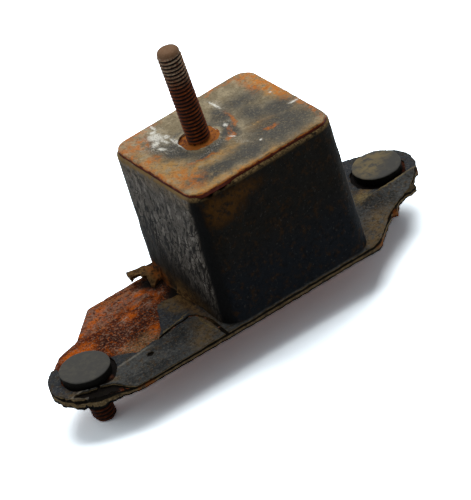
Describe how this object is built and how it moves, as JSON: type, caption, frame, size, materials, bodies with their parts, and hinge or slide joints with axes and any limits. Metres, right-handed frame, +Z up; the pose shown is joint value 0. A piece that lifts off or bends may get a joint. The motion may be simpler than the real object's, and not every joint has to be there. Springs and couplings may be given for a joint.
{
  "type": "gearbox mount bushing",
  "caption": "Bonded rubber mount: a square rubber block on a pressed steel base plate with bolt ears, topped by a steel plate with an upright threaded stud. Worn and rusty.",
  "frame": {"origin": "midway between the two base bolts, on the underside of the base plate", "axes": "+X along the base plate's long edges, towards the right bolt; +Z up along the top stud"},
  "size_m": [0.1808, 0.0621, 0.1213],
  "materials": {
    "base_steel": "bare pressed steel, heavily rusted",
    "rubber": "old moulded rubber, weathered and cracked",
    "plate_steel": "worn steel with rust at its edges",
    "stud_steel": "threaded steel, rusted brown",
    "bolt_coating": "steel bolt, head under matt grey rubber"
  },
  "bodies": {
    "root": {"base_plate": "base_steel", "rubber_body": "rubber", "top_plate": "plate_steel", "top_stud": "stud_steel", "left_bolt": "bolt_coating", "right_bolt": "bolt_coating"}
  },
  "joints": []
}
